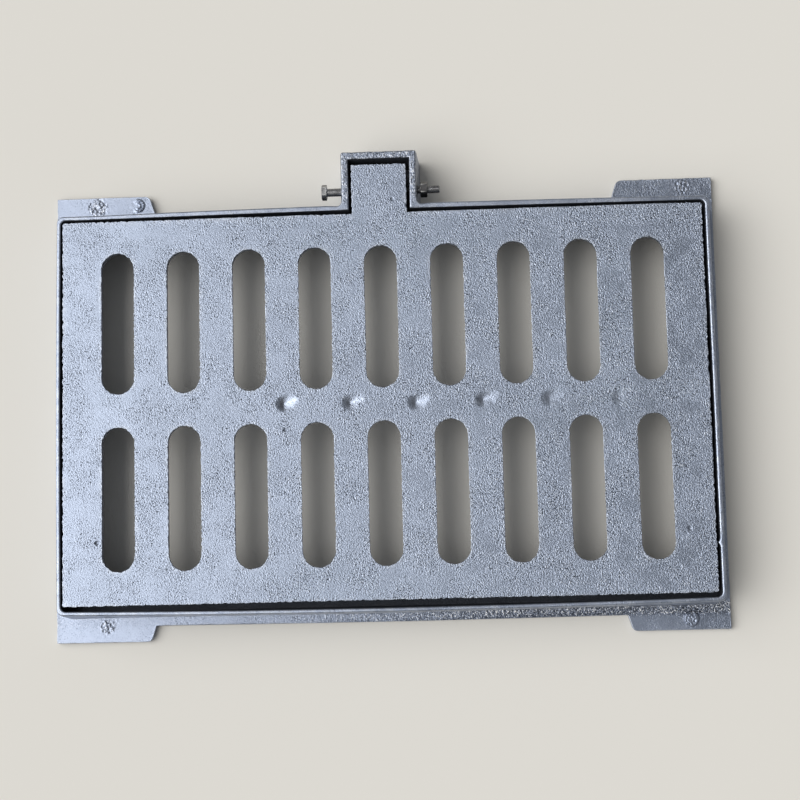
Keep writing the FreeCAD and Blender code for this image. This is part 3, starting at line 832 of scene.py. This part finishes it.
def new_material(name):
    """An empty material with its node tree."""
    material = bpy.data.materials.new(name)
    material.use_nodes = True
    return material, material.node_tree


def noise_node(tree, coordinates, scale, detail, roughness):
    node = tree.nodes.new("ShaderNodeTexNoise")
    node.inputs["Scale"].default_value = scale
    node.inputs["Detail"].default_value = detail
    node.inputs["Roughness"].default_value = roughness
    tree.links.new(coordinates, node.inputs["Vector"])
    return node.outputs["Fac"]


def ramp_node(tree, factor, stops):
    """Map a factor through colour stops of (position, colour)."""
    node = tree.nodes.new("ShaderNodeValToRGB")
    elements = node.color_ramp.elements
    while len(elements) < len(stops):
        elements.new(0.5)
    for element, (position, colour) in zip(elements, stops):
        element.position = position
        element.color = (*colour, 1)
    tree.links.new(factor, node.inputs["Fac"])
    return node.outputs["Color"]


def range_node(tree, factor, low, high, to_low, to_high):
    """Map the part of a factor between low and high to a new range."""
    node = tree.nodes.new("ShaderNodeMapRange")
    node.inputs["From Min"].default_value = low
    node.inputs["From Max"].default_value = high
    node.inputs["To Min"].default_value = to_low
    node.inputs["To Max"].default_value = to_high
    tree.links.new(factor, node.inputs["Value"])
    return node.outputs["Result"]


def math_node(tree, operation, first, second):
    node = tree.nodes.new("ShaderNodeMath")
    node.operation = operation
    tree.links.new(first, node.inputs[0])
    if isinstance(second, float):
        node.inputs[1].default_value = second
    else:
        tree.links.new(second, node.inputs[1])
    return node.outputs[0]


def mix_node(tree, factor, first, second):
    """Blend two colours by a factor. The second may be a plain colour."""
    node = tree.nodes.new("ShaderNodeMix")
    node.data_type = "RGBA"
    tree.links.new(factor, node.inputs["Factor"])
    tree.links.new(first, node.inputs["A"])
    if isinstance(second, tuple):
        node.inputs["B"].default_value = (*second, 1)
    else:
        tree.links.new(second, node.inputs["B"])
    return node.outputs["Result"]


def bump_node(tree, height, strength, distance, normal=None):
    node = tree.nodes.new("ShaderNodeBump")
    node.inputs["Distance"].default_value = distance
    if isinstance(strength, float):
        node.inputs["Strength"].default_value = strength
    else:
        tree.links.new(strength, node.inputs["Strength"])
    tree.links.new(height, node.inputs["Height"])
    if normal is not None:
        tree.links.new(normal, node.inputs["Normal"])
    return node.outputs["Normal"]


def object_coordinates(tree):
    return tree.nodes.new("ShaderNodeTexCoord").outputs["Object"]


def attribute_node(tree, name):
    node = tree.nodes.new("ShaderNodeAttribute")
    node.attribute_name = name
    return node.outputs["Fac"]


def coated_iron(name, tones, grain, dullness):
    """Bitumen-coated cast iron: slate tones in patches, a sandy grain that grows to the right, worn edges, and
    painted glints, highlights and shade.
    """
    material, tree = new_material(name)
    shader = tree.nodes["Principled BSDF"]
    place = object_coordinates(tree)
    patches = noise_node(tree, place, *PATCHES)
    mottle = noise_node(tree, place, *MOTTLE)
    sand = noise_node(tree, place, *SAND)
    fine = noise_node(tree, place, *FINE)

    along = tree.nodes.new("ShaderNodeSeparateXYZ")
    tree.links.new(place, along.inputs["Vector"])
    rightward = along.outputs["X"]
    grainy = range_node(tree, noise_node(tree, place, *GRAIN_PATCHES), *GRAIN_SPREAD)
    rougher = math_node(tree, "MULTIPLY", grainy, range_node(tree, rightward, *ROUGHER_TO_RIGHT))
    shinier = math_node(tree, "MULTIPLY", grainy, range_node(tree, rightward, *SHINIER_TO_RIGHT))

    colour = ramp_node(tree, patches, list(zip(TONE_STOPS, tones)))
    colour = mix_node(tree, range_node(tree, mottle, *SPECKLE_SHARE), colour, tones[0])
    edge = math_node(tree, "POWER", attribute_node(tree, "edge"), EDGE_POWER)
    worn = math_node(tree, "MULTIPLY", edge, range_node(tree, mottle, *WORN_SHARE))
    colour = mix_node(tree, worn, colour, WORN_COLOUR)
    pores = range_node(tree, sand, *PORE_SAND, PORE_SHARES[0] + PORE_SHARES[1] * grain, 0.0)
    colour = mix_node(tree, math_node(tree, "MULTIPLY", pores, grainy), colour, PORE_COLOUR)
    # Painted glints, more of them to the right
    glints = range_node(tree, sand, *GLINT_SAND, 0.0, GLINT_SHARES[0] + GLINT_SHARES[1] * grain)
    colour = mix_node(tree, math_node(tree, "MULTIPLY", glints, shinier), colour, PAINTED_GLINT_COLOUR)
    # A painted highlight lightens the polished dents
    polish_and_highlight = attribute_node(tree, "polish_and_highlight")
    colour = mix_node(tree, range_node(tree, polish_and_highlight, *POLISH_HIGHLIGHT_SHARE), colour, POLISH_HIGHLIGHT_COLOUR)
    crust = attribute_node(tree, "crust")
    scorched = math_node(tree, "MULTIPLY", crust, range_node(tree, sand, *SCORCHED_SHARE))
    colour = mix_node(tree, scorched, colour, SCORCHED_COLOUR)
    ashen = math_node(tree, "MULTIPLY", crust, range_node(tree, sand, *ASHEN_SHARE))
    colour = mix_node(tree, ashen, colour, ASHEN_COLOUR)
    # Painted shade in the gap, on the dents' left sides and in the pits
    painted_shade = attribute_node(tree, "painted_shade")
    colour = mix_node(tree, range_node(tree, painted_shade, *PAINTED_SHADE_SHARE), colour, PAINTED_SHADE_COLOUR)
    tree.links.new(colour, shader.inputs["Base Color"])

    shader.inputs["Metallic"].default_value = IRON_METAL
    shiny, dull = (roughness + dullness for roughness in IRON_ROUGHNESS)
    roughness = range_node(tree, patches, *GLOSS_PATCHES, shiny, dull)
    roughness = math_node(tree, "ADD", roughness, range_node(tree, polish_and_highlight, *POLISH_GAIN))
    roughness = math_node(tree, "ADD", roughness, range_node(tree, painted_shade, *DULL_GAIN))
    tree.links.new(roughness, shader.inputs["Roughness"])
    strength = math_node(tree, "MULTIPLY", rougher, SAND_STRENGTH * grain)
    strength = math_node(tree, "ADD", strength, crust)
    strength = math_node(tree, "MULTIPLY", strength, range_node(tree, polish_and_highlight, *POLISH_GRAIN))
    normal = bump_node(tree, sand, strength, SAND_HEIGHT)
    normal = bump_node(tree, fine, FINE_STRENGTH * grain, FINE_HEIGHT, normal)
    tree.links.new(normal, shader.inputs["Normal"])
    return material


def dull_steel(name, tones, roughness):
    """Bare fastener steel: oily smudges, specks of tarnish, brighter corners and painted shade."""
    material, tree = new_material(name)
    shader = tree.nodes["Principled BSDF"]
    place = object_coordinates(tree)
    smudge = noise_node(tree, place, *SMUDGES)
    specks = noise_node(tree, place, *SPECKS)
    colour = ramp_node(tree, smudge, list(zip(STEEL_STOPS, tones)))
    colour = mix_node(tree, range_node(tree, specks, *TARNISH_SHARE), colour, TARNISH_COLOUR)
    shape = tree.nodes.new("ShaderNodeNewGeometry")
    colour = mix_node(tree, range_node(tree, shape.outputs["Pointiness"], *CORNER_SHARE), colour, CORNER_COLOUR)
    # Painted shade on the fastener's sides and underside, and all over it within the hinge box
    colour = mix_node(tree, attribute_node(tree, "painted_shade"), colour, STEEL_SHADE_COLOUR)
    tree.links.new(colour, shader.inputs["Base Color"])
    shader.inputs["Metallic"].default_value = STEEL_METAL
    dulled = range_node(tree, smudge, *GLOSS_SMUDGES, roughness, roughness + STEEL_DULLNESS)
    tree.links.new(dulled, shader.inputs["Roughness"])
    tree.links.new(bump_node(tree, specks, SPECK_STRENGTH, SPECK_HEIGHT), shader.inputs["Normal"])
    return material


# Tones, grain and dullness of the castings, and tones and roughness of the fasteners
GRATE_TONES = [(0.259, 0.295, 0.366), (0.291, 0.331, 0.411), (0.324, 0.368, 0.455)]
FRAME_TONES = [(0.26, 0.295, 0.37), (0.295, 0.333, 0.415), (0.335, 0.376, 0.465)]
BOLT_TONES = [(0.20, 0.20, 0.205), (0.34, 0.34, 0.345), (0.5, 0.5, 0.5)]
NUT_TONES = [(0.045, 0.045, 0.048), (0.08, 0.08, 0.083), (0.14, 0.14, 0.14)]
GRATE_GRAIN = 1.0
FRAME_GRAIN = 0.3
GRATE_DULLNESS = 0.0
FRAME_DULLNESS = 0.01
BOLT_ROUGHNESS = 0.18
NUT_ROUGHNESS = 0.22

grate_iron = coated_iron("grate_iron", GRATE_TONES, GRATE_GRAIN, GRATE_DULLNESS)
frame_iron = coated_iron("frame_iron", FRAME_TONES, FRAME_GRAIN, FRAME_DULLNESS)
bolt_steel = dull_steel("bolt_steel", BOLT_TONES, BOLT_ROUGHNESS)
nut_steel = dull_steel("nut_steel", NUT_TONES, NUT_ROUGHNESS)
new_piece("grate_casting", grate_mesh(), "grate", "grate", grate_iron)
new_piece("frame_casting", frame_mesh(), "frame", "frame", frame_iron)
new_piece("bolt", bolt_mesh(), "hinge_bolt", "frame", bolt_steel)
new_piece("nut", nut_mesh(), "hinge_nut", "frame", nut_steel)


# Stage
FLOOR_HALF = 60.0
FLOOR_COLOUR = (0.715, 0.69, 0.635)
FLOOR_ROUGHNESS = 0.95
FLOOR_SHEEN = 0.1
FLOOR_SEGMENTS = 4
LAMP_STRENGTH = 1.57
LAMP_WIDTH = math.radians(60)
LAMPS = {"key_rear": (-0.8, 0.25, 1.0), "key_front": (-0.8, -0.25, 1.0)}
SKY_COLOUR = (0.95, 0.97, 1.0)
SKY_STRENGTH = 0.25


def make_floor():
    bm = bmesh.new()
    bmesh.ops.create_grid(bm, x_segments=FLOOR_SEGMENTS, y_segments=FLOOR_SEGMENTS, size=FLOOR_HALF)
    mesh = bpy.data.meshes.new("floor")
    bm.to_mesh(mesh)
    bm.free()
    material, tree = new_material("floor")
    shader = tree.nodes["Principled BSDF"]
    shader.inputs["Base Color"].default_value = (*FLOOR_COLOUR, 1)
    shader.inputs["Roughness"].default_value = FLOOR_ROUGHNESS
    shader.inputs["Specular IOR Level"].default_value = FLOOR_SHEEN
    mesh.materials.append(material)
    floor = bpy.data.objects.new("floor", mesh)
    bpy.context.scene.collection.objects.link(floor)


def make_light():
    for name, place in LAMPS.items():
        lamp = bpy.data.lights.new(name, "SUN")
        lamp.energy = LAMP_STRENGTH
        lamp.angle = LAMP_WIDTH
        key = bpy.data.objects.new(name, lamp)
        key.location = place
        key.rotation_euler = Vector(place).to_track_quat("Z", "Y").to_euler()
        bpy.context.scene.collection.objects.link(key)
    world = bpy.data.worlds.new("studio")
    world.use_nodes = True
    background = world.node_tree.nodes["Background"]
    background.inputs["Color"].default_value = (*SKY_COLOUR, 1)
    background.inputs["Strength"].default_value = SKY_STRENGTH
    bpy.context.scene.world = world


def make_camera():
    data = bpy.data.cameras.new("camera")
    data.lens = CAMERA_LENS
    data.sensor_width = CAMERA_SENSOR
    camera = bpy.data.objects.new("camera", data)
    camera.location = CAMERA_PLACE
    camera.rotation_euler = Euler([math.radians(angle) for angle in CAMERA_TURN])
    bpy.context.scene.collection.objects.link(camera)
    bpy.context.scene.camera = camera


make_floor()
make_light()
make_camera()
bpy.context.scene.view_settings.view_transform = "Standard"
